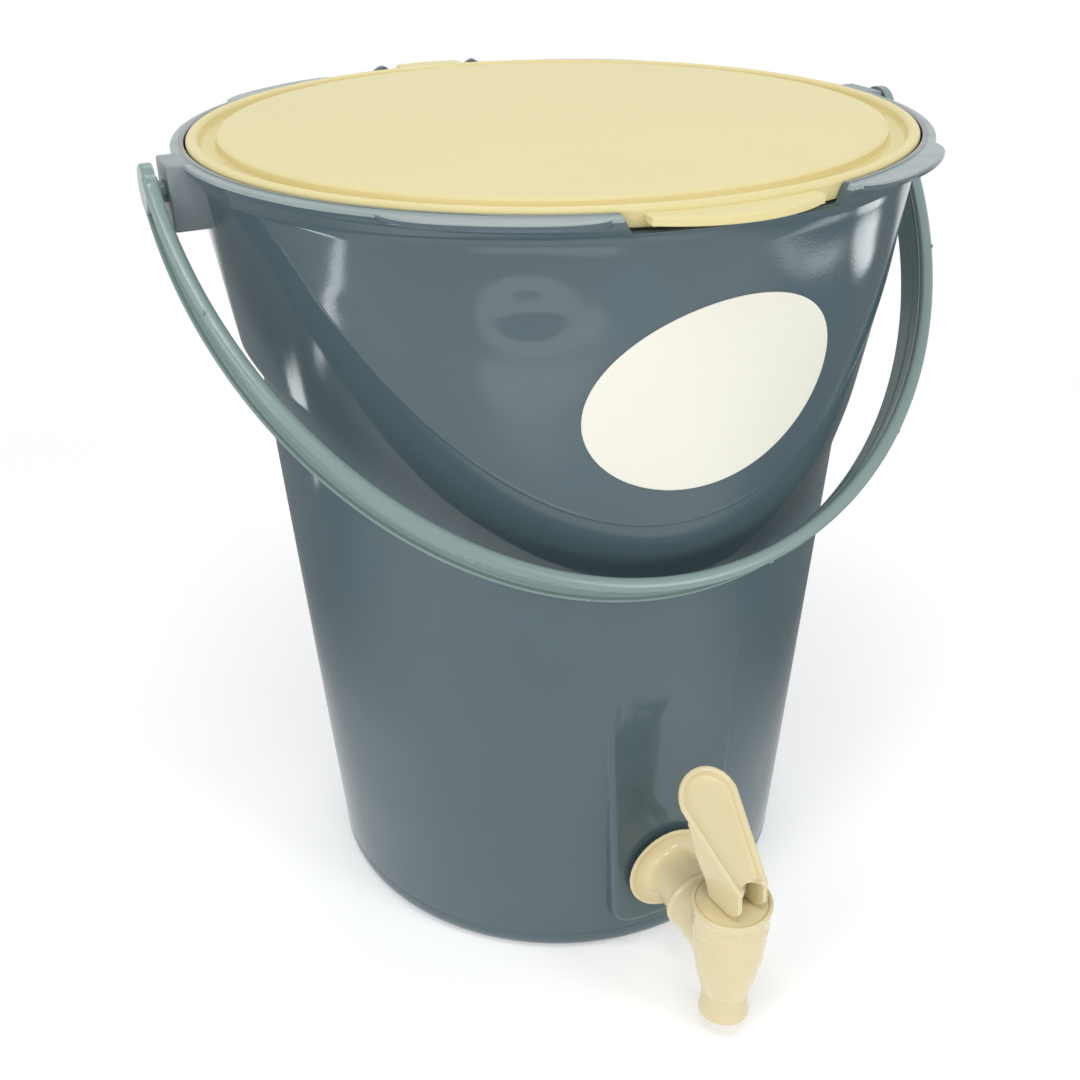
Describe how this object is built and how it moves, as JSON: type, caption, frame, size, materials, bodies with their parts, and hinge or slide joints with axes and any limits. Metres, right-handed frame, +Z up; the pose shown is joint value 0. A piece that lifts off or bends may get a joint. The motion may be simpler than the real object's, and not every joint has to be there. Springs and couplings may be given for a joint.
{
  "type": "wormery",
  "caption": "Tapered kitchen compost bucket with a press-in lid, a bail handle, a strainer plate and a lever drain tap.",
  "frame": {"origin": "centre of the bucket's flat underside", "axes": "+Z up out of the bucket's mouth, -Y out through the tap, +X to the right seen from the tap side"},
  "size_m": [0.3376, 0.3492, 0.3622],
  "materials": {
    "slate_plastic": "glossy injection-moulded polypropylene, slate blue-grey",
    "cream_plastic": "satin injection-moulded polypropylene, pale cream",
    "sage_plastic": "satin injection-moulded polypropylene, pale grey-green",
    "tap_plastic": "satin injection-moulded polypropylene, warm cream",
    "white_plastic": "moulded acetal, off-white",
    "silicone": "soft moulded silicone, milky white",
    "seal_rubber": "soft moulded rubber, dark grey",
    "label_film": "satin self-adhesive film, off-white"
  },
  "bodies": {
    "bucket_body": {"bucket": "slate_plastic", "label": "label_film", "tap_body": "tap_plastic", "tap_bonnet": "tap_plastic", "tap_bonnet_seal": "silicone", "tap_outer_washer": "seal_rubber", "tap_inner_washer": "seal_rubber", "tap_nut": "tap_plastic"},
    "lid_body": {"lid": "cream_plastic", "lid_seal": "seal_rubber"},
    "handle_body": {"handle": "sage_plastic"},
    "strainer_body": {"strainer": "slate_plastic"},
    "stem_body": {"tap_stem": "white_plastic", "tap_plug": "silicone", "tap_lever_pin": "white_plastic"},
    "lever_body": {"tap_lever": "tap_plastic"}
  },
  "joints": [
    {"name": "lid_lift", "type": "slide", "parent": "bucket_body", "child": "lid_body", "axis": [0, 0, 1], "range_m": [0, 0.08]},
    {"name": "handle_swing", "type": "hinge", "parent": "bucket_body", "child": "handle_body", "pos_m": [0, 0, 0.347], "axis": [-1, 0, 0], "range_deg": [0, 270]},
    {"name": "strainer_lift", "type": "slide", "parent": "bucket_body", "child": "strainer_body", "axis": [0, 0, 1], "range_m": [0, 0.25]},
    {"name": "stem_lift", "type": "slide", "parent": "bucket_body", "child": "stem_body", "axis": [0, 0, 1], "range_m": [0, 0.0052]},
    {"name": "tap_turn", "type": "hinge", "parent": "stem_body", "child": "lever_body", "pos_m": [0, -0.172, 0.0806], "axis": [0.9925, 0.1219, 0], "range_deg": [0, 65]}
  ],
  "couplings": [
    {"joint": "stem_lift", "follows": "tap_turn", "m_per_rad": 0.004583}
  ]
}
